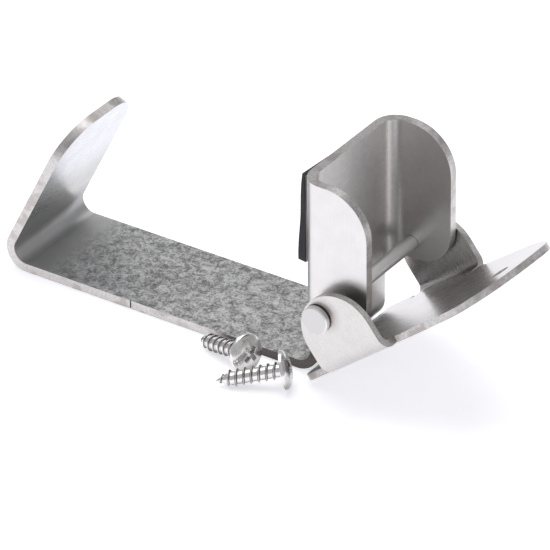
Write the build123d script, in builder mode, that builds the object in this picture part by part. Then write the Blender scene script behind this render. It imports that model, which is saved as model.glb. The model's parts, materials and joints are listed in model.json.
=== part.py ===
from build123d import *
import math
import os

os.makedirs("parts", exist_ok=True)

# ------------------------------------------------------------------ sizes, millimetres and degrees
# Hook arm: one sheet, a flat strap with a leaning hook at one end and a web with two flanges at the other.
arm_sheet = 2.0              # sheet thickness
strap_width = 25.0           # width of the strap and of the hook
hook_reach = 79.4            # channel side of the web to the outermost point of the hook's bend
hook_length = 42.0           # hook, from the sharp corner of its outer skin to its end
hook_lean = 27.2             # how far the hook leans in over the strap
hook_bend_inside = 3.0       # inside radius of the hook's bend
hook_corner = 9.0            # rounding of the hook's two end corners
foot_bend_inside = 3.5       # inside radius of the bend from strap to web
web_flat = 23.6              # flat width of the web between the folds of its flanges
fold_inside = 3.0            # inside radius of the flange folds
channel_bottom = 16.0        # height of the flanges' lower edge above the strap's underside
channel_top = 48.0           # height of the web's and flanges' upper edge
flange_reach = 14.5          # flange edge from the channel side of the web
flange_top_corner = 10.0     # rounding of the flange's upper free corner
flange_bottom_corner = 8.0   # rounding of the flange's lower free corner
edge_nick_depth = 0.3        # small nick left by the cutter in the strap's edge
edge_nick_width = 0.35
edge_nick_from_web = 47.3

# Pivot pin
pin_diameter = 3.0
pin_from_web = 5.1           # pin axis from the channel side of the web
pin_height = 19.7            # pin axis above the strap's underside
pin_running_gap = 0.08       # radial play of the pin in the arm's flanges
pin_head_diameter = 6.2
pin_head_height = 1.5
pin_rivet_diameter = 5.2     # formed end of the pin
pin_rivet_height = 1.3

# Mounting yoke: base plate with two ears and a long nose
yoke_sheet = 1.5
yoke_angle = 38.0            # base against the strap when the yoke rests on the arm's bend
stop_gap = 0.25              # what is left between the base and the arm's bend at rest
ear_side_gap = 1.2           # ear's inner face from the flange's outer face
yoke_slide = 0.9             # the yoke and its pin lie this far off the middle, towards the head
ear_half_length = 8.9
ear_before_pin = 2.3         # middle of the ears in front of the pin
ear_above_pin = 3.9
ear_corner = 8.8             # ears end in an almost full round
yoke_fold_inside = 1.5
base_half_width = 16.0
base_back = 15.3             # base's rear edge behind the pin
base_back_corner = 1.2
relief_width = 1.0           # relief slots at the ears' feet
relief_depth = 1.5
nose_start = 28.2            # where the base's long sides turn into the nose
nose_start_half_width = 14.6
nose_middle = 38.3           # one more point of the nose's flank
nose_middle_half_width = 8.5
nose_tip = 45.2              # meeting point of the two flanks before rounding
nose_shoulder_radius = 9.0
nose_tip_radius = 4.0
nose_curl_start = 24.7       # beyond here the nose curls up gently
nose_curl_radius = 135.0
screw_hole_diameter = 4.0
rear_hole_from_pin = 8.8    # behind the pin
front_hole_from_pin = 31.2   # in front of the pin

# Rubber pad stuck to the outer side of the web
adhesive_thickness = 0.4
pad_half_width = 13.6
pad_bottom = 26.8            # above the strap's underside
pad_near_below_web = 0.5     # the pad's top edge below the web's, at its two ends
pad_far_below_web = 2.0
pad_top_thickness = 0.7
pad_bottom_thickness = 1.8
pad_wave = 0.25              # unevenness of the cut rubber edge
adhesive_inset = 0.35

# Mounting screws, lying loose beside the strap
screw_length = 14.0
thread_diameter = 3.8
thread_depth = 0.55
thread_pitch = 1.6
screw_tip_length = 3.2
screw_head_diameter = 8.4
screw_rim = 0.35
screw_dome = 1.6
recess_length = 3.8
recess_width = 0.9
recess_depth = 1.3
recess_run_out = 0.3         # the cutter starts this far above the dome
screw_1_head_from_web = 3.8  # centre of the head's seat from the web's channel side
screw_1_head_from_strap = 7.7    # and from the strap's edge
screw_1_turn = 31.5          # axis against the strap's length, seen from above
screw_2_head_from_web = 13.9
screw_2_head_from_strap = 6.4
screw_2_turn = -13.0

# ------------------------------------------------------------------ positions that follow from the sizes
hook_bend_outside = hook_bend_inside + arm_sheet
foot_bend_outside = foot_bend_inside + arm_sheet
fold_outside = fold_inside + arm_sheet
strap_flat = hook_reach - hook_bend_outside - foot_bend_outside
web_face = strap_flat / 2 + foot_bend_outside
web_back = web_face - arm_sheet
flange_edge = web_face + flange_reach
flange_out = web_flat / 2 + fold_outside
hook_turn = 90 + hook_lean
hook_straight = hook_length - hook_bend_outside * math.tan(math.radians(hook_turn / 2))

pin_x = web_face + pin_from_web
pin_origin = (pin_x, -yoke_slide, pin_height)
pin_radius = pin_diameter / 2

yoke_cos = math.cos(math.radians(yoke_angle))
yoke_sin = math.sin(math.radians(yoke_angle))
bend_from_pin_x = web_face - foot_bend_outside - pin_x
bend_from_pin_z = foot_bend_outside - pin_height
bend_level = bend_from_pin_z * yoke_cos - bend_from_pin_x * yoke_sin
base_top = bend_level - foot_bend_outside - stop_gap
base_bottom = base_top - yoke_sheet
ear_out = flange_out + ear_side_gap + yoke_sheet
yoke_fold_outside = yoke_fold_inside + yoke_sheet

# Planes through the pin's axis: along the yoke's side, over its base, and across it.
yoke_side = Plane(origin=pin_origin, x_dir=(yoke_cos, 0, yoke_sin), z_dir=(0, -1, 0))
yoke_plan = Plane(origin=pin_origin, x_dir=(yoke_cos, 0, yoke_sin), z_dir=(-yoke_sin, 0, yoke_cos))
yoke_cross = Plane(origin=pin_origin, x_dir=(0, 1, 0), z_dir=(yoke_cos, 0, yoke_sin))

# ------------------------------------------------------------------ hook arm
with BuildPart() as hook_arm:
    # Strap, hook and the lower part of the web: a bent strip seen from the side
    with BuildSketch(Plane.XZ):
        with BuildLine():
            web_line = Line((web_face, channel_bottom + arm_sheet), (web_face, foot_bend_outside))
            foot_arc = JernArc(web_line @ 1, web_line % 1, foot_bend_outside, -90)
            strap_line = Line(foot_arc @ 1, (-strap_flat / 2, 0))
            hook_arc = JernArc(strap_line @ 1, strap_line % 1, hook_bend_outside, -hook_turn)
            hook_line = Line(hook_arc @ 1, hook_arc @ 1 + (hook_arc % 1) * hook_straight)
            offset(amount=arm_sheet, side=Side.RIGHT)
        make_face()
    extrude(amount=strap_width / 2, both=True)
    hook_tips = hook_arm.edges().filter_by(
        lambda e: abs(e.length - arm_sheet) < 0.001 and e.center().X < 0
    )
    fillet(hook_tips, radius=hook_corner)
    # Web with its two flanges, a U seen from above
    with BuildSketch(Plane.XY.offset(channel_bottom)):
        with BuildLine():
            near_line = Line((flange_edge, -flange_out), (web_back + fold_outside, -flange_out))
            near_arc = JernArc(near_line @ 1, near_line % 1, fold_outside, -90)
            back_line = Line(near_arc @ 1, (web_back, web_flat / 2))
            far_arc = JernArc(back_line @ 1, back_line % 1, fold_outside, -90)
            far_line = Line(far_arc @ 1, (flange_edge, flange_out))
            offset(amount=arm_sheet, side=Side.RIGHT)
        make_face()
    extrude(amount=channel_top - channel_bottom)
    free_corners = hook_arm.edges().filter_by(Axis.Y).filter_by(
        lambda e: abs(e.center().X - flange_edge) < 0.001
    )
    fillet(free_corners.filter_by(lambda e: e.center().Z > pin_height), radius=flange_top_corner)
    free_corners = hook_arm.edges().filter_by(Axis.Y).filter_by(
        lambda e: abs(e.center().X - flange_edge) < 0.001
    )
    fillet(free_corners.filter_by(lambda e: e.center().Z < pin_height), radius=flange_bottom_corner)
    # Pin holes through both flanges
    with BuildSketch(Plane(origin=pin_origin, x_dir=(1, 0, 0), z_dir=(0, -1, 0))):
        Circle(pin_radius + pin_running_gap)
    extrude(amount=2 * flange_out, both=True, mode=Mode.SUBTRACT)
    # Nick in the strap's edge
    with BuildSketch(Plane(origin=(web_face - edge_nick_from_web, -strap_width / 2, 0))):
        Rectangle(edge_nick_width, 2 * edge_nick_depth)
    extrude(amount=arm_sheet, mode=Mode.SUBTRACT)
hook_arm.part.label = "hook_arm"
export_step(hook_arm.part, "parts/hook_arm.step")

# ------------------------------------------------------------------ mounting yoke
with BuildPart() as mounting_yoke:
    # Base and curled nose seen from the side
    with BuildSketch(yoke_side):
        with BuildLine():
            base_line = Line((-base_back, base_bottom), (nose_curl_start, base_bottom))
            curl_sweep = math.degrees(math.asin((nose_tip - nose_curl_start) / nose_curl_radius))
            curl_arc = JernArc(base_line @ 1, base_line % 1, nose_curl_radius, curl_sweep)
            offset(amount=yoke_sheet, side=Side.LEFT)
        make_face()
    extrude(amount=base_half_width, both=True)
    # Outline of base and nose seen from above
    with BuildSketch(yoke_plan) as base_outline:
        with BuildLine():
            Polyline(
                (-base_back, 0),
                (-base_back, base_half_width),
                (ear_half_length + ear_before_pin, base_half_width),
                (nose_start, nose_start_half_width),
            )
            ThreePointArc(
                (nose_start, nose_start_half_width),
                (nose_middle, nose_middle_half_width),
                (nose_tip, 0),
            )
            mirror(about=Plane.XZ)
        make_face()
        corners = base_outline.vertices()
        fillet(corners.filter_by(lambda v: v.X < 0 and abs(v.Y) > 1), radius=base_back_corner)
        corners = base_outline.vertices()
        fillet(corners.filter_by(lambda v: abs(v.X - nose_start) < 0.01), radius=nose_shoulder_radius)
        corners = base_outline.vertices()
        fillet(corners.filter_by(lambda v: abs(v.X - nose_tip) < 0.01), radius=nose_tip_radius)
    extrude(amount=3 * ear_out, both=True, mode=Mode.INTERSECT)
    # Ears folded up from the base
    with BuildSketch(yoke_cross.offset(ear_before_pin - ear_half_length)):
        with BuildLine():
            near_ear = Line((-ear_out, ear_above_pin), (-ear_out, base_bottom + yoke_fold_outside))
            near_fold = JernArc(near_ear @ 1, near_ear % 1, yoke_fold_outside, 90)
            ear_base = Line(near_fold @ 1, (ear_out - yoke_fold_outside, base_bottom))
            far_fold = JernArc(ear_base @ 1, ear_base % 1, yoke_fold_outside, 90)
            far_ear = Line(far_fold @ 1, (ear_out, ear_above_pin))
            offset(amount=yoke_sheet, side=Side.LEFT)
        make_face()
    extrude(amount=2 * ear_half_length)
    ear_corners = mounting_yoke.edges().filter_by(Axis.Y).filter_by(
        lambda e: yoke_plan.to_local_coords(e.center()).Z > ear_above_pin - 0.01
    )
    fillet(ear_corners, radius=ear_corner)
    # Relief slots at the feet of the ears
    with BuildSketch(yoke_plan.offset(base_bottom)):
        rear_slot = ear_before_pin - ear_half_length - relief_width / 2
        front_slot = ear_before_pin + ear_half_length + relief_width / 2
        slot_spots = [
            (rear_slot, -base_half_width),
            (rear_slot, base_half_width),
            (front_slot, -base_half_width),
            (front_slot, base_half_width),
        ]
        with Locations(*slot_spots):
            Rectangle(relief_width, 2 * relief_depth)
    extrude(amount=yoke_sheet, mode=Mode.SUBTRACT)
    # Screw holes on the centre line
    with BuildSketch(yoke_plan.offset(base_bottom - yoke_sheet)):
        with Locations((-rear_hole_from_pin, 0), (front_hole_from_pin, 0)):
            Circle(screw_hole_diameter / 2)
    extrude(amount=4 * yoke_sheet, mode=Mode.SUBTRACT)
    # Pin holes through both ears
    with BuildSketch(yoke_side):
        Circle(pin_radius)
    extrude(amount=ear_out, both=True, mode=Mode.SUBTRACT)
mounting_yoke.part.label = "mounting_yoke"
export_step(mounting_yoke.part, "parts/mounting_yoke.step")

# ------------------------------------------------------------------ pivot pin
pin_side = Plane(origin=pin_origin, x_dir=(1, 0, 0), z_dir=(0, -1, 0))
with BuildPart() as pivot_pin:
    with BuildSketch(pin_side):
        Circle(pin_radius)
    extrude(amount=ear_out, both=True)
    with BuildSketch(pin_side.offset(ear_out)):
        Circle(pin_head_diameter / 2)
    extrude(amount=pin_head_height)
    chamfer(pivot_pin.faces().sort_by(Axis.Y)[0].edges(), length=0.25)
    with BuildSketch(pin_side.offset(-ear_out)):
        Circle(pin_rivet_diameter / 2)
    extrude(amount=-pin_rivet_height)
    fillet(pivot_pin.faces().sort_by(Axis.Y)[-1].edges(), radius=0.7 * pin_rivet_height)
pivot_pin.part.label = "pivot_pin"
export_step(pivot_pin.part, "parts/pivot_pin.step")

# ------------------------------------------------------------------ adhesive layer and rubber pad
web_outside = Plane(origin=(web_back, 0, 0), x_dir=(0, -1, 0), z_dir=(-1, 0, 0))
pad_top = channel_top - pad_near_below_web
pad_far_top = channel_top - pad_far_below_web
with BuildPart() as pad_adhesive:
    with BuildSketch(web_outside):
        with BuildLine():
            Polyline(
                (-pad_half_width + adhesive_inset, pad_bottom + adhesive_inset),
                (pad_half_width - adhesive_inset, pad_bottom + adhesive_inset),
                (pad_half_width - adhesive_inset, pad_top - adhesive_inset),
                (-pad_half_width + adhesive_inset, pad_far_top - adhesive_inset),
                close=True,
            )
        make_face()
    extrude(amount=adhesive_thickness)
pad_adhesive.part.label = "pad_adhesive"
export_step(pad_adhesive.part, "parts/pad_adhesive.step")

with BuildPart() as rubber_pad:
    # Wedge seen from the side, thicker towards the strap
    with BuildSketch(Plane.XZ):
        with BuildLine():
            pad_back = web_back - adhesive_thickness
            Polyline(
                (pad_back, pad_bottom),
                (pad_back - pad_bottom_thickness, pad_bottom + pad_wave),
                (pad_back - pad_top_thickness, pad_top),
                (pad_back, pad_top),
                close=True,
            )
        make_face()
    extrude(amount=pad_half_width, both=True)
    # Cut edge, slightly uneven
    with BuildSketch(web_outside):
        with BuildLine():
            pad_middle = (pad_bottom + pad_top) / 2
            near_cut = Spline(
                (pad_half_width - pad_wave, pad_bottom),
                (pad_half_width, (pad_bottom + pad_middle) / 2),
                (pad_half_width - pad_wave, pad_middle),
                (pad_half_width, (pad_middle + pad_top) / 2),
                (pad_half_width - pad_wave, pad_top),
            )
            top_cut = Spline(
                near_cut @ 1,
                (0, (pad_top + pad_far_top - pad_wave) / 2),
                (-pad_half_width, pad_far_top),
            )
            far_cut = Spline(
                top_cut @ 1,
                (-pad_half_width + pad_wave, pad_middle),
                (-pad_half_width, pad_bottom),
            )
            Line(far_cut @ 1, near_cut @ 0)
        make_face()
    extrude(amount=pad_half_width, mode=Mode.INTERSECT)
rubber_pad.part.label = "rubber_pad"
export_step(rubber_pad.part, "parts/rubber_pad.step")

# ------------------------------------------------------------------ loose mounting screws
thread_radius = thread_diameter / 2
head_radius = screw_head_diameter / 2
root_radius = thread_radius - thread_depth
thread_count = int((screw_length - screw_tip_length) / thread_pitch)
screw_tilt = math.atan((head_radius - thread_radius) / (screw_length - screw_tip_length))
seat_height = head_radius * math.cos(screw_tilt)


def screw_side(head_from_web, head_from_strap, turn):
    """Plane holding the screw's axis: x from the seat of the head towards the tip."""
    level = math.cos(screw_tilt)
    heading = math.radians(turn)
    along = (-level * math.cos(heading), -level * math.sin(heading), -math.sin(screw_tilt))
    across = (math.sin(heading), -math.cos(heading), 0)
    seat = (web_face - head_from_web, -strap_width / 2 - head_from_strap, seat_height)
    return Plane(origin=seat, x_dir=along, z_dir=across)


def screw_outline():
    """Half section of a screw: dome, rim, ridged shank and point."""
    ridges = []
    for i in range(thread_count):
        start = screw_length - screw_tip_length - i * thread_pitch
        ridges.append((start, thread_radius))
        ridges.append((start - thread_pitch / 2, root_radius))
    points = [(screw_length, 0)] + ridges + [(0, root_radius), (0, head_radius), (-screw_rim, head_radius)]
    Polyline(*points)
    ThreePointArc(
        (-screw_rim, head_radius),
        (-screw_rim - 0.68 * screw_dome, 0.62 * head_radius),
        (-screw_rim - screw_dome, 0),
    )
    Line((-screw_rim - screw_dome, 0), (screw_length, 0))


screw_1_side = screw_side(screw_1_head_from_web, screw_1_head_from_strap, screw_1_turn)
screw_2_side = screw_side(screw_2_head_from_web, screw_2_head_from_strap, screw_2_turn)
screw_1_top = Plane(
    origin=screw_1_side.from_local_coords((-screw_rim - screw_dome - recess_run_out, 0, 0)),
    x_dir=screw_1_side.y_dir,
    z_dir=screw_1_side.x_dir,
)
screw_2_top = Plane(
    origin=screw_2_side.from_local_coords((-screw_rim - screw_dome - recess_run_out, 0, 0)),
    x_dir=screw_2_side.y_dir,
    z_dir=screw_2_side.x_dir,
)

with BuildPart() as mounting_screw_1:
    with BuildSketch(screw_1_side):
        with BuildLine():
            screw_outline()
        make_face()
    revolve(axis=Axis(screw_1_side.origin, screw_1_side.x_dir))
    with BuildSketch(screw_1_top):
        Rectangle(recess_length, recess_width, rotation=20)
        Rectangle(recess_width, recess_length, rotation=20)
    extrude(amount=recess_depth + recess_run_out, mode=Mode.SUBTRACT)
mounting_screw_1.part.label = "mounting_screw_1"
export_step(mounting_screw_1.part, "parts/mounting_screw_1.step")

with BuildPart() as mounting_screw_2:
    with BuildSketch(screw_2_side):
        with BuildLine():
            screw_outline()
        make_face()
    revolve(axis=Axis(screw_2_side.origin, screw_2_side.x_dir))
    with BuildSketch(screw_2_top):
        Rectangle(recess_length, recess_width, rotation=40)
        Rectangle(recess_width, recess_length, rotation=40)
    extrude(amount=recess_depth + recess_run_out, mode=Mode.SUBTRACT)
mounting_screw_2.part.label = "mounting_screw_2"
export_step(mounting_screw_2.part, "parts/mounting_screw_2.step")
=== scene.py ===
import json
import math

import bpy
import numpy as np
from mathutils import Matrix, Vector


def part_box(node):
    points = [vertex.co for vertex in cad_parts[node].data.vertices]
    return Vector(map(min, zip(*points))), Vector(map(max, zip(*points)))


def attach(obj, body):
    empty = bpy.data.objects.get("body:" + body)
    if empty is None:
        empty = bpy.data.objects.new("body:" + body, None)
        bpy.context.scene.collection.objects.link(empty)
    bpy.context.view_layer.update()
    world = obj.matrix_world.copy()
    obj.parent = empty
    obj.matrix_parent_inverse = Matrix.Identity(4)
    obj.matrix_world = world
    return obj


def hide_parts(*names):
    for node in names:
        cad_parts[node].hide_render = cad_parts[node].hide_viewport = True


bl_info = {
    "name": "Stair Gate Latch",
    "version": (1, 0, 0),
    "blender": (4, 5, 0),
    "location": "View3D > Sidebar > Latch",
    "description": "Finishes, screws and studio for a sheet steel stair gate latch",
    "category": "Object",
}

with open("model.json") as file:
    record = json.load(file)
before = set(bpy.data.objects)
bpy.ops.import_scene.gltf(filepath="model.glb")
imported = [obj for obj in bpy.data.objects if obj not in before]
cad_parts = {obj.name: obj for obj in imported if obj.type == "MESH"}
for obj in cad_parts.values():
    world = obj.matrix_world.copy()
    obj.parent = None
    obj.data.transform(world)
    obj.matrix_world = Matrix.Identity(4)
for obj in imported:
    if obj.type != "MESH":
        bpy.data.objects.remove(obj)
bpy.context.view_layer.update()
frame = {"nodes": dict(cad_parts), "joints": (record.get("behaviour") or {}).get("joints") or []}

MM = 0.001
ARM_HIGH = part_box("hook_arm")[1]
YOKE_LOW, YOKE_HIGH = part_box("mounting_yoke")
YOKE_PIVOT = Vector(frame["joints"][0]["pos_m"])

# Millimetres. The arm's box ends at its flanges' free edges and outer faces.
ARM_SHEET = 2.0
YOKE_SHEET = 1.5
STRAP_HALF = 12.5                              # half the strap's width
FLANGE_REACH = 14.5                            # flange edge from the channel side of the web
CHANNEL_BOTTOM = 16.0                          # height of the flanges' lower edge
CHANNEL_HALF = ARM_HIGH.y / MM - ARM_SHEET     # flange's inner face from the middle
WEB_FACE = ARM_HIGH.x / MM - FLANGE_REACH      # channel side of the web
WEB_BACK = WEB_FACE - ARM_SHEET
EAR_OUTSIDE = 0.5 * (YOKE_HIGH.y - YOKE_LOW.y) / MM
EAR_INSIDE = EAR_OUTSIDE - YOKE_SHEET
BASE_HALF = 16.0                               # half the width of the yoke's base


# ------------------------------------------------------------------ settings


class LatchSteelSettings(bpy.types.PropertyGroup):
    """Sizes and colours of the steel finishes."""

    strap_tone: bpy.props.FloatVectorProperty(
        name="Strap tone", description="Mean colour of the tumbled strap",
        subtype="COLOR", size=3, default=(0.46, 0.46, 0.455),
    )
    hook_tone: bpy.props.FloatVectorProperty(
        name="Hook tone", description="Colour of the smooth hook and its bend",
        subtype="COLOR", size=3, default=(0.48, 0.48, 0.475),
    )
    # the hook's end tone is a painted reflection: lighter and bluer than the hook's bend
    hook_end_sheen_tone: bpy.props.FloatVectorProperty(
        name="Hook end tone", description="Colour of the hook towards its end",
        subtype="COLOR", size=3, default=(0.70, 0.71, 0.74),
    )
    flange_tone: bpy.props.FloatVectorProperty(
        name="Flange tone", description="Colour of the brushed flanges and web",
        subtype="COLOR", size=3, default=(0.74, 0.72, 0.715),
    )
    edge_tone: bpy.props.FloatVectorProperty(
        name="Cut edge tone", description="Colour of the sheared sheet edges",
        subtype="COLOR", size=3, default=(0.66, 0.635, 0.625),
    )
    # this brown tone colours the real stains, and also the painted shade on the strap's edge by the screws
    # and the painted shadow of the pin's head on the near ear
    stain_and_shade_tone: bpy.props.FloatVectorProperty(
        name="Stain tone", description="Colour of the brownish stains on the cut edges",
        subtype="COLOR", size=3, default=(0.42, 0.37, 0.35),
    )
    yoke_tone: bpy.props.FloatVectorProperty(
        name="Yoke tone", description="Colour of the brushed mounting yoke",
        subtype="COLOR", size=3, default=(0.67, 0.65, 0.64),
    )
    grain_size: bpy.props.FloatProperty(
        name="Grain size", description="Size of the tumbled speckle",
        subtype="DISTANCE", default=0.00058, min=0.0001, max=0.01,
    )
    yoke_angle: bpy.props.FloatProperty(
        name="Yoke angle", description="Angle of the yoke's base to the strap at rest",
        subtype="ANGLE", default=math.radians(38.0),
    )
    hook_lean: bpy.props.FloatProperty(
        name="Hook lean", description="How far the hook leans in over the strap",
        subtype="ANGLE", default=math.radians(27.2),
    )


class LatchScrewSettings(bpy.types.PropertyGroup):
    """Sizes of the loose mounting screws."""

    length: bpy.props.FloatProperty(
        name="Length", description="From the seat of the head to the point",
        subtype="DISTANCE", default=0.014,
    )
    tip_length: bpy.props.FloatProperty(
        name="Point length", description="Length of the tapering point",
        subtype="DISTANCE", default=0.0032,
    )
    thread_radius: bpy.props.FloatProperty(
        name="Thread radius", description="Outer radius of the thread",
        subtype="DISTANCE", default=0.0019,
    )
    thread_depth: bpy.props.FloatProperty(
        name="Thread depth", description="Height of the thread over its core",
        subtype="DISTANCE", default=0.0005,
    )
    pitch: bpy.props.FloatProperty(
        name="Pitch", description="Distance between neighbouring turns of the thread",
        subtype="DISTANCE", default=0.0016,
    )
    head_radius: bpy.props.FloatProperty(
        name="Head radius", description="Radius of the head's rim",
        subtype="DISTANCE", default=0.0042,
    )
    rim: bpy.props.FloatProperty(
        name="Rim", description="Thickness of the head's rim",
        subtype="DISTANCE", default=0.00035,
    )
    dome: bpy.props.FloatProperty(
        name="Dome", description="Height of the head's dome over its rim",
        subtype="DISTANCE", default=0.0016,
    )
    recess_width: bpy.props.FloatProperty(
        name="Recess width", description="Width of a slot of the cross recess",
        subtype="DISTANCE", default=0.0009,
    )
    recess_length: bpy.props.FloatProperty(
        name="Recess length", description="Length of a slot of the cross recess",
        subtype="DISTANCE", default=0.0038,
    )
    recess_depth: bpy.props.FloatProperty(
        name="Recess depth", description="Depth of the cross recess",
        subtype="DISTANCE", default=0.0013,
    )


class LatchStageSettings(bpy.types.PropertyGroup):
    """Camera, floor and light."""

    azimuth: bpy.props.FloatProperty(
        name="Azimuth", description="Camera's turn from the latch's front",
        subtype="ANGLE", default=math.radians(34.27),
    )
    elevation: bpy.props.FloatProperty(
        name="Elevation", description="Camera's height angle",
        subtype="ANGLE", default=math.radians(31.6),
    )
    roll: bpy.props.FloatProperty(
        name="Roll", description="Camera's tilt about its own axis",
        subtype="ANGLE", default=math.radians(-0.69),
    )
    distance: bpy.props.FloatProperty(
        name="Distance", description="Camera to the middle of the view",
        subtype="DISTANCE", default=1.0588,
    )
    target: bpy.props.FloatVectorProperty(
        name="Target", description="Middle of the view", subtype="TRANSLATION",
        size=3, default=(0.02085, 0.0, 0.0113),
    )
    lens: bpy.props.FloatProperty(
        name="Lens", description="Focal length in millimetres", default=333.8,
    )
    floor_tone: bpy.props.FloatVectorProperty(
        name="Floor tone", description="Colour of the floor",
        subtype="COLOR", size=3, default=(0.925, 0.925, 0.95),
    )
    floor_glow: bpy.props.FloatProperty(
        name="Floor glow", description="Own light of the floor, which keeps its shadows pale",
        default=0.50,
    )
    sky_tone: bpy.props.FloatVectorProperty(
        name="Room tone", description="Colour of the room's even light",
        subtype="COLOR", size=3, default=(0.47, 0.475, 0.49),
    )
    key_power: bpy.props.FloatProperty(
        name="Overhead power", description="Power of the overhead soft box, watts", default=12.0,
    )


# ------------------------------------------------------------------ material building


class Finish:
    """A procedural material: one Principled surface and short calls that add nodes to it.

    place is the point on the object in millimetres, and sizes of patterns are in millimetres too.
    """

    def __init__(self, name, metallic, roughness):
        self.material = bpy.data.materials.new(name)
        self.material.use_nodes = True
        self.tree = self.material.node_tree
        self.tree.nodes.clear()
        output = self.tree.nodes.new("ShaderNodeOutputMaterial")
        self.surface = self.tree.nodes.new("ShaderNodeBsdfPrincipled")
        self.tree.links.new(self.surface.outputs["BSDF"], output.inputs["Surface"])
        self.surface.inputs["Metallic"].default_value = metallic
        self.surface.inputs["Roughness"].default_value = roughness
        self.coords = self.tree.nodes.new("ShaderNodeTexCoord")
        self.place = self.vector("SCALE", self.coords.outputs["Object"], scale=1.0 / MM)
        self.normal = self.coords.outputs["Normal"]

    def put(self, socket, value):
        if isinstance(value, bpy.types.NodeSocket):
            self.tree.links.new(value, socket)
        else:
            socket.default_value = value

    def vector(self, operation, a, b=None, scale=None):
        node = self.tree.nodes.new("ShaderNodeVectorMath")
        node.operation = operation
        self.put(node.inputs[0], a)
        if b is not None:
            self.put(node.inputs[1], b)
        if scale is not None:
            node.inputs["Scale"].default_value = scale
        return node.outputs["Value"] if operation == "DOT_PRODUCT" else node.outputs["Vector"]

    def math(self, operation, a, b=0.0, c=0.0):
        node = self.tree.nodes.new("ShaderNodeMath")
        node.operation = operation
        for socket, value in zip(node.inputs, (a, b, c)):
            self.put(socket, value)
        return node.outputs["Value"]

    def step(self, value, low, high):
        """0 below low, 1 above high, smooth between; low above high turns it round."""
        node = self.tree.nodes.new("ShaderNodeMapRange")
        node.interpolation_type = "SMOOTHSTEP"
        self.put(node.inputs["Value"], value)
        flipped = low > high
        node.inputs["From Min"].default_value = high if flipped else low
        node.inputs["From Max"].default_value = low if flipped else high
        node.inputs["To Min"].default_value = 1.0 if flipped else 0.0
        node.inputs["To Max"].default_value = 0.0 if flipped else 1.0
        return node.outputs["Result"]

    def span(self, value, low, high):
        """Carries 0..1 to low..high."""
        return self.math("MULTIPLY_ADD", value, high - low, low)

    def all_of(self, *masks):
        result = masks[0]
        for mask in masks[1:]:
            result = self.math("MULTIPLY", result, mask)
        return result

    def any_of(self, *masks):
        result = masks[0]
        for mask in masks[1:]:
            result = self.math("MAXIMUM", result, mask)
        return result

    def noise(self, where, size, detail=4.0, rough=0.6, stretch=None):
        """Noise with grains of the given size in millimetres, stretched along X, Y, Z by stretch."""
        if stretch is not None:
            where = self.vector("DIVIDE", where, stretch)
        node = self.tree.nodes.new("ShaderNodeTexNoise")
        self.put(node.inputs["Vector"], where)
        node.inputs["Scale"].default_value = 1.0 / size
        node.inputs["Detail"].default_value = detail
        node.inputs["Roughness"].default_value = rough
        return node.outputs["Fac"]

    def swirl(self, where, scale, reach):
        """The place moved by up to about reach millimetres, so that a pattern there looks bent."""
        node = self.tree.nodes.new("ShaderNodeTexNoise")
        self.put(node.inputs["Vector"], where)
        node.inputs["Scale"].default_value = scale
        return self.vector("ADD", where, self.vector("SCALE", node.outputs["Color"], scale=reach))

    def distance(self, a, b):
        """Length of the hypotenuse over a and b."""
        squares = self.math("ADD", self.math("MULTIPLY", a, a), self.math("MULTIPLY", b, b))
        return self.math("SQRT", squares)

    def blend(self, mask, a, b):
        """Colour a where mask is 0, colour b where it is 1."""
        node = self.tree.nodes.new("ShaderNodeMix")
        node.data_type = "RGBA"
        self.put(node.inputs["Factor"], mask)
        self.put(node.inputs["A"], a if isinstance(a, bpy.types.NodeSocket) else (*a, 1.0))
        self.put(node.inputs["B"], b if isinstance(b, bpy.types.NodeSocket) else (*b, 1.0))
        return node.outputs["Result"]

    def lerp(self, mask, a, b):
        """Number a where mask is 0, number b where it is 1."""
        node = self.tree.nodes.new("ShaderNodeMix")
        node.data_type = "FLOAT"
        self.put(node.inputs["Factor"], mask)
        self.put(node.inputs["A"], a)
        self.put(node.inputs["B"], b)
        return node.outputs["Result"]

    def tint(self, colour, value, low, high):
        """Colour darkened or lightened by low..high as value goes 0..1."""
        node = self.tree.nodes.new("ShaderNodeVectorMath")
        node.operation = "SCALE"
        self.put(node.inputs[0], colour if isinstance(colour, bpy.types.NodeSocket) else tuple(colour))
        self.put(node.inputs["Scale"], self.span(value, low, high))
        return node.outputs["Vector"]

    def parts(self, vector):
        node = self.tree.nodes.new("ShaderNodeSeparateXYZ")
        self.put(node.inputs[0], vector)
        return node.outputs["X"], node.outputs["Y"], node.outputs["Z"]

    def join(self, x, y, z):
        node = self.tree.nodes.new("ShaderNodeCombineXYZ")
        for socket, value in zip(node.inputs, (x, y, z)):
            self.put(socket, value)
        return node.outputs["Vector"]

    def bump(self, height, strength, distance):
        node = self.tree.nodes.new("ShaderNodeBump")
        node.inputs["Strength"].default_value = strength
        node.inputs["Distance"].default_value = distance
        self.put(node.inputs["Height"], height)
        self.put(self.surface.inputs["Normal"], node.outputs["Normal"])

    def colour(self, value):
        self.put(self.surface.inputs["Base Color"], value)

    def roughness(self, value):
        self.put(self.surface.inputs["Roughness"], value)


def dress(node, finish):
    """Gives a CAD node one material in all its slots."""
    mesh = frame["nodes"][node].data
    mesh.materials.clear()
    mesh.materials.append(finish.material)


# ------------------------------------------------------------------ finishes


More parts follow.
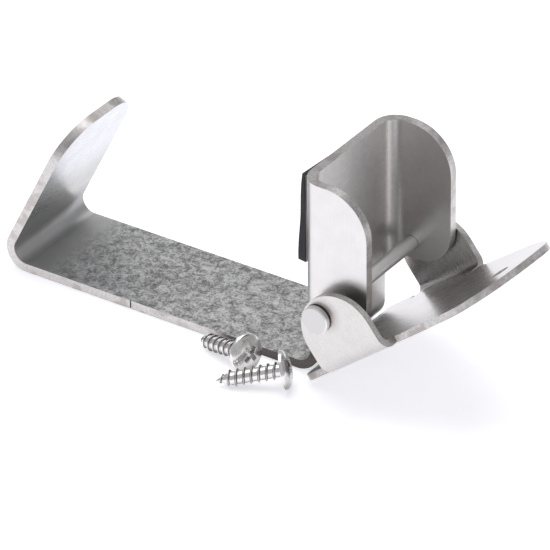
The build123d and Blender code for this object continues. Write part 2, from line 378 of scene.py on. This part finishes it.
def arm_finish(steel):
    """Tumbled strap, smooth hook, brushed flanges and web, and sheared edges, told apart by place."""
    f = Finish("arm_steel", 1.0, 0.35)
    x, y, z = f.parts(f.place)
    _, ny, nz = f.parts(f.normal)
    side = f.math("ABSOLUTE", y)
    facing_side = f.math("ABSOLUTE", ny)
    lean = (math.cos(steel.hook_lean), 0.0, -math.sin(steel.hook_lean))
    facing_hook = f.math("ABSOLUTE", f.vector("DOT_PRODUCT", f.normal, lean))
    # sheared edges: along the strap, round the hook, round the channel's top and bottom, on the flanges
    strip_edge = f.all_of(
        f.step(side, STRAP_HALF - 0.08, STRAP_HALF - 0.02),
        f.step(z, CHANNEL_BOTTOM + 0.1, CHANNEL_BOTTOM - 0.1),
        f.step(facing_side, 0.6, 0.8),
    )
    hook_edge = f.all_of(f.step(x, 0.0, -1.0), f.step(z, 8.0, 9.0), f.step(facing_hook, 0.6, 0.5))
    level_edge = f.all_of(
        f.step(z, CHANNEL_BOTTOM - 0.5, CHANNEL_BOTTOM - 0.1),
        f.step(f.math("ABSOLUTE", nz), 0.8, 0.9),
        f.step(x, WEB_BACK - 1, WEB_BACK),
    )
    flange_edge = f.all_of(
        f.step(x, WEB_BACK + 4.5, WEB_BACK + 4.7),
        f.step(side, CHANNEL_HALF - 0.3, CHANNEL_HALF - 0.1),
        f.step(facing_side, 0.6, 0.5),
    )
    edge = f.any_of(strip_edge, hook_edge, level_edge, flange_edge)
    # tumbled grain on the strap's upper side, fading out towards the hook's bend
    bent = f.swirl(f.place, 0.35, 3.0)
    coarse = f.noise(bent, 1.9, 5.0, 0.68)
    fine = f.noise(bent, steel.grain_size / MM, 5.0, 0.75)
    grain = f.lerp(0.45, fine, coarse)
    grain_sharp = f.step(grain, 0.40, 0.60)
    cloud = f.noise(f.place, 6.0, 3.0, 0.55)
    grain_ends, grain_full = -33.0, -22.0
    on_strap = f.all_of(f.step(z, ARM_SHEET + 1.2, ARM_SHEET + 0.2), f.step(x, grain_ends, grain_full))
    strap = f.tint(steel.strap_tone, grain_sharp, 0.45, 1.35)
    strap = f.tint(strap, cloud, 0.75, 1.25)
    # smooth hook and bend: fine lines across the strip, with a painted reflection of the floor making it
    # lighter and bluer towards the hook's end
    rolled = f.noise(f.place, 0.6, 3.0, 0.5, stretch=(1.0, 14.0, 1.0))
    dark_below, bright_above = 12.0, 26.0
    hook = f.blend(f.step(z, dark_below, bright_above), steel.hook_tone, steel.hook_end_sheen_tone)
    patches = f.noise(f.place, 3.5, 3.0, 0.55)
    hook = f.tint(f.tint(hook, rolled, 0.92, 1.1), patches, 0.88, 1.12)
    # brushed flanges and web, with mottling and slanting scratches inside the channel
    upright = f.noise(f.place, 0.22, 3.0, 0.6, stretch=(1.0, 1.0, 30.0))
    slope = 0.8
    slant_x = f.math("ADD", x, f.math("MULTIPLY", z, slope))
    slant_z = f.math("SUBTRACT", z, f.math("MULTIPLY", x, slope))
    scratches = f.noise(f.join(slant_x, y, slant_z), 0.28, 2.0, 0.5, stretch=(12.0, 12.0, 1.0))
    scratch = f.step(scratches, 0.62, 0.74)
    scratch_tone = (0.95, 0.93, 0.9)
    inside = f.all_of(
        f.step(side, CHANNEL_HALF + 0.1, CHANNEL_HALF - 0.1), f.step(x, WEB_BACK + 1.5, WEB_BACK + 1.9)
    )
    brushed = f.tint(f.tint(steel.flange_tone, upright, 0.95, 1.05), patches, 0.93, 1.07)
    brushed = f.blend(f.math("MULTIPLY", f.all_of(scratch, inside), 0.6), brushed, scratch_tone)
    mottle = f.noise(f.place, 0.9, 4.0, 0.65)
    brushed = f.blend(inside, brushed, f.tint(brushed, mottle, 0.78, 1.04))
    on_web = f.all_of(f.step(x, WEB_BACK - 8.0, WEB_BACK - 3.0), f.step(z, 3.0, 8.0))
    skin = f.blend(on_strap, hook, strap)
    skin = f.blend(on_web, skin, brushed)
    # edges: specks and brown stains, painted shade on level edges and the near flange's edge, and the
    # darkest painted shade and reflection on the strap's near edge by the screws
    specks = f.noise(f.place, 0.5, 4.0, 0.75)
    stains = f.noise(f.place, 4.0, 3.0, 0.6)
    cut = f.tint(steel.edge_tone, f.step(specks, 0.3, 0.7), 0.78, 1.12)
    cut = f.blend(f.math("MULTIPLY", f.step(stains, 0.5, 0.62), 0.6), cut, steel.stain_and_shade_tone)
    on_near_flange = f.step(y, -12.0, -13.0)
    # painted shade: level edges and the near flange's edge are darkened
    shaded_edge = f.any_of(level_edge, f.all_of(flange_edge, on_near_flange))
    cut = f.blend(shaded_edge, cut, f.tint(cut, specks, 0.6, 0.95))
    # painted shade and reflection of the screws: the strap's near edge behind them is darkened
    painted_shade_by_screws = f.all_of(f.step(x, 12.0, 18.0), f.step(y, -12.0, -12.3), f.step(z, 8.0, 6.0))
    cut = f.blend(painted_shade_by_screws, cut, f.tint(steel.stain_and_shade_tone, specks, 0.1, 0.4))
    f.colour(f.blend(edge, skin, cut))
    up_hook = f.step(z, 6.0, 12.0)
    hook_rough = f.lerp(up_hook, f.span(rolled, 0.44, 0.54), f.span(rolled, 0.24, 0.32))
    smooth = f.lerp(on_strap, hook_rough, f.span(grain_sharp, 0.36, 0.5))
    web_rough = f.lerp(inside, f.span(upright, 0.26, 0.34), f.span(upright, 0.36, 0.44))
    smooth = f.lerp(on_web, smooth, web_rough)
    f.roughness(f.lerp(edge, smooth, f.span(specks, 0.3, 0.48)))
    height = f.lerp(on_strap, f.math("MULTIPLY", rolled, 0.12), grain)
    height = f.lerp(on_web, height, f.math("MULTIPLY", upright, 0.12))
    f.bump(f.lerp(edge, height, specks), 0.35, 0.00006)
    return f


def yoke_finish(steel):
    """Brushed base, nose and ears with sheared edges, told apart along and across the base."""
    f = Finish("yoke_steel", 1.0, 0.25)
    c, s = math.cos(steel.yoke_angle), math.sin(steel.yoke_angle)
    middle = (YOKE_PIVOT.x / MM, 0.5 * (YOKE_LOW.y + YOKE_HIGH.y) / MM, YOKE_PIVOT.z / MM)
    centred = f.vector("SUBTRACT", f.place, middle)
    along = f.vector("DOT_PRODUCT", centred, (c, 0.0, s))
    over = f.vector("DOT_PRODUCT", centred, (-s, 0.0, c))
    _, across, _ = f.parts(centred)
    n_over = f.math("ABSOLUTE", f.vector("DOT_PRODUCT", f.normal, (-s, 0.0, c)))
    n_across = f.math("ABSOLUTE", f.parts(f.normal)[1])
    n_along = f.math("ABSOLUTE", f.vector("DOT_PRODUCT", f.normal, (c, 0.0, s)))
    side = f.math("ABSOLUTE", across)
    base_edge = f.all_of(
        f.step(side, BASE_HALF + 0.3, BASE_HALF + 0.1),
        f.step(over, -7.8, -8.2),
        f.step(n_over, 0.6, 0.5),
    )
    ear_edge = f.all_of(
        f.step(side, EAR_INSIDE - 0.3, EAR_INSIDE - 0.1),
        f.step(n_across, 0.6, 0.5),
        f.step(over, -9.0, -8.7),
    )
    ear_end = f.all_of(f.step(side, BASE_HALF + 0.2, BASE_HALF + 0.4), f.step(n_along, 0.8, 0.9))
    edge = f.any_of(base_edge, ear_edge, ear_end)
    # brushed along the base, and up and down on the ears
    stretch = 30.0
    lined = f.join(f.math("DIVIDE", along, stretch), across, over)
    grain = f.noise(lined, 0.2, 3.0, 0.6)
    ear_lined = f.join(along, across, f.math("DIVIDE", over, stretch))
    ear_grain = f.noise(ear_lined, 0.2, 3.0, 0.6)
    on_ear = f.step(side, EAR_INSIDE - 1.0, EAR_INSIDE - 0.4)
    brush = f.lerp(on_ear, grain, ear_grain)
    cloud = f.noise(f.place, 5.0, 2.0, 0.5)
    mottle = f.noise(f.place, 1.4, 4.0, 0.65)
    skin = f.tint(f.tint(steel.yoke_tone, brush, 0.96, 1.04), cloud, 0.94, 1.06)
    skin = f.tint(skin, mottle, 0.92, 1.06)
    # brownish painted shadow and reflection of the pin's head on the near ear, up and forward of the pin's
    # head
    head_shadow_middle = (middle[0] + 1.6, 0.0, middle[2] + 1.2)
    from_x, _, from_z = f.parts(f.vector("SUBTRACT", f.place, head_shadow_middle))
    near_side = f.step(across, -EAR_INSIDE, -EAR_INSIDE - 1.0)
    painted_head_shadow = f.all_of(on_ear, near_side, f.step(f.distance(from_x, from_z), 4.6, 1.5))
    # painted shadow: the near ear darkened towards the brown tone round the pin's head
    skin = f.blend(f.math("MULTIPLY", painted_head_shadow, 0.75), skin, steel.stain_and_shade_tone)
    specks = f.noise(f.place, 0.5, 4.0, 0.75)
    stains = f.noise(f.place, 4.0, 3.0, 0.6)
    cut = f.tint(steel.edge_tone, f.step(specks, 0.3, 0.7), 0.7, 1.15)
    cut = f.blend(f.math("MULTIPLY", f.step(stains, 0.5, 0.6), 0.7), cut, steel.stain_and_shade_tone)
    f.colour(f.blend(edge, skin, cut))
    f.roughness(f.lerp(edge, f.span(brush, 0.22, 0.32), f.span(specks, 0.4, 0.6)))
    f.bump(f.lerp(edge, f.math("MULTIPLY", brush, 0.15), specks), 0.3, 0.00005)
    return f


def pin_finish():
    """Turned rings on the pin's ends, drawn lines along its shaft, and a painted contact shadow, a dark
    line where head meets ear.
    """
    f = Finish("pin_steel", 1.0, 0.2)
    pivot = tuple(v / MM for v in YOKE_PIVOT)
    x, y, z = f.parts(f.vector("SUBTRACT", f.place, pivot))
    ring = f.distance(x, z)
    wobble = f.noise(f.place, 1.2, 2.0, 0.5)
    turned = f.math("SINE", f.math("MULTIPLY_ADD", ring, 15.0, f.math("MULTIPLY", wobble, 6.0)))
    facing = f.step(f.math("ABSOLUTE", f.parts(f.normal)[1]), 0.8, 0.95)
    drawn = f.noise(f.place, 0.2, 3.0, 0.6, stretch=(1.0, 30.0, 1.0))
    shaft_tone, end_tone, contact_shadow_tone = (0.90, 0.89, 0.88), (0.64, 0.63, 0.625), (0.06, 0.055, 0.05)
    tone = f.blend(facing, shaft_tone, end_tone)
    ear_face = YOKE_LOW.y / MM
    past_ear = f.step(y, ear_face - 0.5, ear_face - 0.2)
    # painted contact shadow: a dark ring on the pin just at the ear's outer face
    painted_contact_shadow = f.all_of(past_ear, f.step(y, ear_face + 0.5, ear_face + 0.2))
    tone = f.blend(painted_contact_shadow, tone, contact_shadow_tone)
    f.colour(f.tint(tone, f.lerp(facing, drawn, f.span(turned, 0.45, 0.62)), 0.82, 1.12))
    f.roughness(f.lerp(facing, f.span(drawn, 0.4, 0.52), 0.28))
    f.bump(f.lerp(facing, f.math("MULTIPLY", drawn, 0.3), f.span(turned, 0.1, 0.25)), 0.35, 0.00005)
    return f


def rubber_finish(name, tone, grain, rough):
    """Dull rubber or glue with a fine uneven skin and lighter dust on it."""
    f = Finish(name, 0.0, rough)
    fine = f.noise(f.place, grain, 5.0, 0.7)
    dust = f.noise(f.place, grain * 9.0, 3.0, 0.5)
    f.colour(f.tint(f.tint(tone, fine, 0.7, 1.4), dust, 0.8, 1.3))
    f.roughness(f.span(fine, rough - 0.1, min(1.0, rough + 0.12)))
    f.bump(fine, 0.5, 0.0001)
    return f


def plating_finish():
    """Bright zinc plating with painted shade: dark on the thread's flanks, brownish on faces turned down
    and to the yoke.
    """
    f = Finish("screw_plating", 1.0, 0.2)
    tooth, _, _ = f.parts(f.coords.outputs["UV"])
    # painted shade in the thread's grooves: its flanks are darkened
    painted_flank_shade = f.all_of(f.step(tooth, 0.05, 0.25), f.step(tooth, 0.95, 0.7))
    nx, _, nz = f.parts(f.normal)
    # painted shade on faces turned down and towards the yoke
    shaded = f.step(f.math("SUBTRACT", nx, nz), 0.75, 1.2)
    cloud = f.noise(f.place, 1.1, 3.0, 0.55)
    zinc_tone, flank_shade_tone, shaded_tone = (0.86, 0.85, 0.84), (0.12, 0.10, 0.09), (0.20, 0.17, 0.16)
    tone = f.tint(zinc_tone, cloud, 0.78, 1.12)
    tone = f.blend(f.math("MULTIPLY", painted_flank_shade, 0.8), tone, flank_shade_tone)
    f.colour(f.blend(f.math("MULTIPLY", shaded, 0.7), tone, shaded_tone))
    f.roughness(f.span(cloud, 0.16, 0.28))
    f.bump(f.noise(f.place, 0.35, 3.0, 0.6), 0.12, 0.00004)
    return f


# ------------------------------------------------------------------ screws


def screw_surface(s, rows_thread=260, rows_head=76, columns=96):
    """Points of a screw as a grid of rows along it and columns round it.

    The distance t runs from the point to the seat. The core's radius grows with the 0.8th power of t
    up to the end of the point. The thread adds its depth times a narrow tooth in the phase
    t / pitch - turn, which grows over the point and fades out under the head. Past the seat, the
    radius opens to the rim and closes over a dome, whose height is its rise times the 1.15th power of
    the ellipse sqrt(1 - share ^ 2), with share the radius over the head's. A cross of two slots cuts
    the dome down to a flat floor. The second grid is the tooth's height, 0 to 1.
    """
    power = 0.8              # of the point's taper and of the tooth's flanks
    dome_power = 1.15
    tooth_half = 0.19        # half a tooth's foot, in pitches
    rim_draft = 0.06 * MM    # how much narrower the rim is at the dome
    turn = np.linspace(0.0, 2.0 * np.pi, columns, endpoint=False)[None, :]
    t = np.linspace(0.0, s.length, rows_thread)[:, None]
    core = s.thread_radius - s.thread_depth
    taper = np.clip(t / s.tip_length, 0.0, 1.0) ** power
    phase = np.mod(t / s.pitch - turn / (2.0 * np.pi), 1.0)
    tooth = np.clip(1.0 - np.abs(phase - 0.5) / tooth_half, 0.0, 1.0) ** power
    fade = np.clip((s.length - t) / (0.5 * s.pitch), 0.0, 1.0)
    reach = np.clip(t / (0.75 * s.tip_length), 0.0, 1.0)
    ridge = tooth * reach * fade
    radius = core * taper + s.thread_depth * ridge
    shank_x = s.length - t + 0.0 * turn
    seat = np.linspace(0.0, 1.0, 10)[1:, None]
    seat_radius = core + (s.head_radius - core) * seat + 0.0 * turn
    seat_x = 0.0 * seat_radius
    rim = np.linspace(0.0, 1.0, 4)[1:, None]
    rim_radius = s.head_radius - rim_draft * rim + 0.0 * turn
    rim_x = -s.rim * rim + 0.0 * turn
    q = np.linspace(0.0, 1.0, rows_head)[1:, None]
    dome_radius = (s.head_radius - rim_draft) * (1.0 - q) + 0.0 * turn
    share = dome_radius / s.head_radius
    dome_x = -s.rim - s.dome * np.sqrt(np.clip(1.0 - share ** 2, 0.0, 1.0)) ** dome_power
    a, b = dome_radius * np.cos(turn), dome_radius * np.sin(turn)
    half_width, half_length = 0.5 * s.recess_width, 0.5 * s.recess_length
    wall = 0.12 * MM         # width of the recess's sloping walls

    def within(distance, half):
        return np.clip((half - np.abs(distance)) / wall + 0.5, 0.0, 1.0)

    slot_a = within(b, half_width) * within(a, half_length)
    slot_b = within(a, half_width) * within(b, half_length)
    cross = np.maximum(slot_a, slot_b)
    floor_x = -s.rim - s.dome + s.recess_depth
    dome_x = dome_x + cross * np.clip(floor_x - dome_x, 0.0, None)
    x = np.concatenate([shank_x, seat_x, rim_x, dome_x])
    r = np.concatenate([radius, seat_radius, rim_radius, dome_radius])
    height = np.concatenate([ridge, 0.0 * seat_x, 0.0 * rim_x, 0.0 * dome_x])
    return np.stack([x, r * np.cos(turn), r * np.sin(turn)], axis=-1), height


def closed_mesh(name, grid, height):
    """A closed skin over a grid whose first and last rows are single points; height goes to the UV's U."""
    rows, columns, _ = grid.shape
    ring = grid[1:-1].reshape(-1, 3)
    points = np.concatenate([grid[0, :1], ring, grid[-1, :1]])
    i = np.arange(rows - 3)[:, None] * columns + 1
    j = np.arange(columns)[None, :]
    k = (j + 1) % columns
    quads = np.stack([i + j, i + columns + j, i + columns + k, i + k], axis=-1).reshape(-1, 4)
    j, k = j.ravel(), k.ravel()
    first = np.stack([np.zeros_like(j), 1 + j, 1 + k], axis=-1)
    base = 1 + (rows - 3) * columns
    last = np.stack([np.full_like(j, len(points) - 1), base + k, base + j], axis=-1)
    mesh = bpy.data.meshes.new(name)
    mesh.from_pydata(points.tolist(), [], quads.tolist() + first.tolist() + last.tolist())
    mesh.validate()
    point_u = np.concatenate([height[0, :1], height[1:-1].ravel(), height[-1, :1]])
    corner_point = np.empty(len(mesh.loops), dtype=np.int32)
    mesh.loops.foreach_get("vertex_index", corner_point)
    layer = mesh.uv_layers.new(name="thread")
    uv = np.stack([point_u[corner_point], np.full(len(corner_point), 0.5)], axis=-1)
    layer.data.foreach_set("uv", uv.ravel())
    mesh.polygons.foreach_set("use_smooth", np.ones(len(mesh.polygons), bool))
    mesh.update()
    return mesh


def screw_place(s, from_web, from_strap, turn):
    """Matrix from a screw's own axis, x towards its point, to where it lies on the floor."""
    tilt = math.atan((s.head_radius - s.thread_radius) / (s.length - s.tip_length))
    level = math.cos(tilt)
    along = Vector((-level * math.cos(turn), -level * math.sin(turn), -math.sin(tilt)))
    side = Vector((math.sin(turn), -math.cos(turn), 0.0))
    up = side.cross(along)
    across = -STRAP_HALF * MM - from_strap
    seat = Vector((WEB_FACE * MM - from_web, across, s.head_radius * math.cos(tilt)))
    turn_matrix = Matrix((along, up, side)).transposed().to_4x4()
    return Matrix.Translation(seat) @ turn_matrix


# ------------------------------------------------------------------ operators


class LATCH_OT_steel(bpy.types.Operator):
    """Gives the hook arm, the mounting yoke and the pivot pin their steel finishes"""

    bl_idname = "latch.steel"
    bl_label = "Steel finishes"

    def execute(self, context):
        steel = context.scene.latch_steel
        dress("hook_arm", arm_finish(steel))
        dress("mounting_yoke", yoke_finish(steel))
        dress("pivot_pin", pin_finish())
        return {"FINISHED"}


class LATCH_OT_pad(bpy.types.Operator):
    """Gives the rubber pad and its glue their finishes"""

    bl_idname = "latch.pad"
    bl_label = "Pad finishes"

    def execute(self, context):
        dress("rubber_pad", rubber_finish("pad_rubber", (0.03, 0.03, 0.032), 0.35, 0.8))
        dress("pad_adhesive", rubber_finish("pad_glue", (0.22, 0.21, 0.2), 0.5, 0.6))
        return {"FINISHED"}


class LATCH_OT_screws(bpy.types.Operator):
    """Makes the two loose mounting screws with their helical threads and cross recesses"""

    bl_idname = "latch.screws"
    bl_label = "Mounting screws"

    def execute(self, context):
        s = context.scene.latch_screws
        finish = plating_finish()
        # the head's seat from the web and from the strap's edge, the heading, and the turn of the recess
        spots = (
            ("mounting_screw_1", 3.8 * MM, 7.7 * MM, math.radians(31.5), math.radians(20.0)),
            ("mounting_screw_2", 13.9 * MM, 6.4 * MM, math.radians(-13.0), math.radians(55.0)),
        )
        for node, from_web, from_strap, turn, spin in spots:
            mesh = closed_mesh(node + "_threaded", *screw_surface(s))
            mesh.transform(screw_place(s, from_web, from_strap, turn) @ Matrix.Rotation(spin, 4, "X"))
            mesh.materials.append(finish.material)
            piece = bpy.data.objects.new(node + "_threaded", mesh)
            context.scene.collection.objects.link(piece)
            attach(piece, "arm")
            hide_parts(node)
        return {"FINISHED"}


class LATCH_OT_stage(bpy.types.Operator):
    """Makes the camera, the pale floor and the soft light"""

    bl_idname = "latch.stage"
    bl_label = "Stage"

    def execute(self, context):
        scene = context.scene
        st = scene.latch_stage
        ca, sa = math.cos(st.azimuth), math.sin(st.azimuth)
        ce, se = math.cos(st.elevation), math.sin(st.elevation)
        back = Vector((sa * ce, -ca * ce, se))
        right = Vector((ca, sa, 0.0))
        up = back.cross(right)
        tilted_right = right * math.cos(st.roll) + up * math.sin(st.roll)
        tilted_up = back.cross(tilted_right)
        camera = bpy.data.objects.new("camera", bpy.data.cameras.new("camera"))
        camera.data.lens = st.lens
        camera.data.clip_start = 0.01
        camera.data.clip_end = 50.0
        pose = Matrix((tilted_right, tilted_up, back)).transposed().to_4x4()
        camera.matrix_world = Matrix.Translation(Vector(st.target) + back * st.distance) @ pose
        scene.collection.objects.link(camera)
        scene.camera = camera
        # floor
        half = 4.0           # metres, so its edges stay out of view
        mesh = bpy.data.meshes.new("floor")
        corners = [(-half, -half, 0), (half, -half, 0), (half, half, 0), (-half, half, 0)]
        mesh.from_pydata(corners, [], [(0, 1, 2, 3)])
        floor = bpy.data.objects.new("floor", mesh)
        paint = bpy.data.materials.new("floor_paint")
        paint.use_nodes = True
        surface = paint.node_tree.nodes["Principled BSDF"]
        surface.inputs["Base Color"].default_value = (*st.floor_tone, 1.0)
        surface.inputs["Roughness"].default_value = 1.0
        surface.inputs["Specular IOR Level"].default_value = 0.0
        surface.inputs["Emission Color"].default_value = (*st.floor_tone, 1.0)
        surface.inputs["Emission Strength"].default_value = st.floor_glow
        mesh.materials.append(paint)
        scene.collection.objects.link(floor)
        # light
        world = bpy.data.worlds.new("room")
        world.use_nodes = True
        world.node_tree.nodes["Background"].inputs["Color"].default_value = (*st.sky_tone, 1.0)
        scene.world = world
        where, aim = Vector((-0.25, 0.35, 1.5)), Vector((0.02, 0.0, 0.0))
        lamp = bpy.data.lights.new("overhead", "AREA")
        lamp.shape = "RECTANGLE"
        lamp.size, lamp.size_y = 1.5, 1.5
        lamp.energy = st.key_power
        lamp.color = (1.0, 0.995, 0.985)
        holder = bpy.data.objects.new("overhead", lamp)
        holder.location = where
        holder.rotation_euler = (aim - where).to_track_quat("-Z", "Y").to_euler()
        scene.collection.objects.link(holder)
        scene.view_settings.view_transform = "Standard"
        scene.view_settings.look = "None"
        return {"FINISHED"}


class LATCH_PT_panel(bpy.types.Panel):
    """Lists the latch's operators"""

    bl_label = "Stair gate latch"
    bl_idname = "LATCH_PT_panel"
    bl_space_type = "VIEW_3D"
    bl_region_type = "UI"
    bl_category = "Latch"

    def draw(self, context):
        for operator in OPERATORS:
            self.layout.operator(operator.bl_idname)


OPERATORS = (LATCH_OT_steel, LATCH_OT_pad, LATCH_OT_screws, LATCH_OT_stage)
CLASSES = (LatchSteelSettings, LatchScrewSettings, LatchStageSettings) + OPERATORS + (LATCH_PT_panel,)


def register():
    for cls in CLASSES:
        bpy.utils.register_class(cls)
    bpy.types.Scene.latch_steel = bpy.props.PointerProperty(type=LatchSteelSettings)
    bpy.types.Scene.latch_screws = bpy.props.PointerProperty(type=LatchScrewSettings)
    bpy.types.Scene.latch_stage = bpy.props.PointerProperty(type=LatchStageSettings)


def unregister():
    del bpy.types.Scene.latch_stage
    del bpy.types.Scene.latch_screws
    del bpy.types.Scene.latch_steel
    for cls in reversed(CLASSES):
        bpy.utils.unregister_class(cls)


def main():
    register()
    bpy.ops.latch.stage()
    bpy.ops.latch.steel()
    bpy.ops.latch.pad()
    bpy.ops.latch.screws()


if __name__ == "__main__":
    main()
